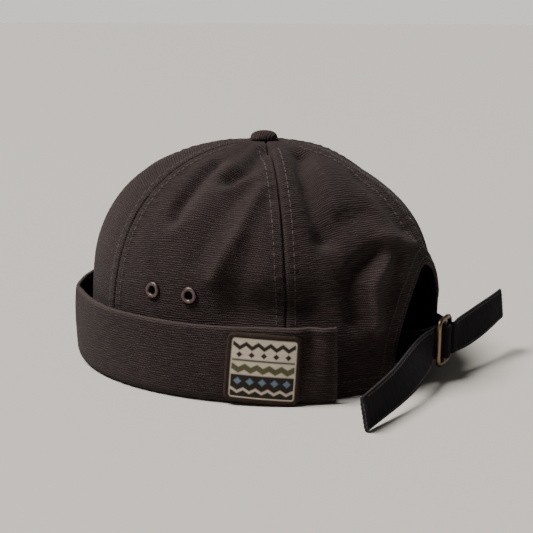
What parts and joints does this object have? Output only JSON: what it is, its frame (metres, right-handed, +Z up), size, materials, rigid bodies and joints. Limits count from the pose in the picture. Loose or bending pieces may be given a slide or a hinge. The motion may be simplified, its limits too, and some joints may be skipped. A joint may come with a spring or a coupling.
{
  "type": "docker cap",
  "caption": "Brimless canvas cap with a turned-up cuff, top button, vent eyelets, a sewn patch and a back opening closed by straps in a slide buckle.",
  "frame": {"origin": "middle of the whole cap's footprint, on the ground it stands on", "axes": "+Z up through the button, the front of the head at -Y and the strap opening at +Y, the wearer's left at +X"},
  "size_m": [0.1822, 0.2272, 0.1237],
  "materials": {
    "canvas": "washed dark brown-grey ribbed cotton canvas, matte",
    "strap_cloth": "smooth blue-black woven tape, matte",
    "patch": "embroidered patch in brown, cream, olive and dusty blue, matte",
    "eyelet_metal": "antique bronze, dull",
    "buckle_metal": "antique brass with bright worn edges"
  },
  "bodies": {
    "root": {"panel_front_left": "canvas", "panel_front_right": "canvas", "panel_side_left": "canvas", "panel_side_right": "canvas", "panel_back_left": "canvas", "panel_back_right": "canvas", "top_button": "canvas", "cuff": "canvas", "eyelet_left_front": "eyelet_metal", "eyelet_left_back": "eyelet_metal", "eyelet_right_front": "eyelet_metal", "eyelet_right_back": "eyelet_metal", "patch": "patch", "strap_left": "strap_cloth", "strap_right": "strap_cloth", "buckle": "buckle_metal"}
  },
  "joints": []
}
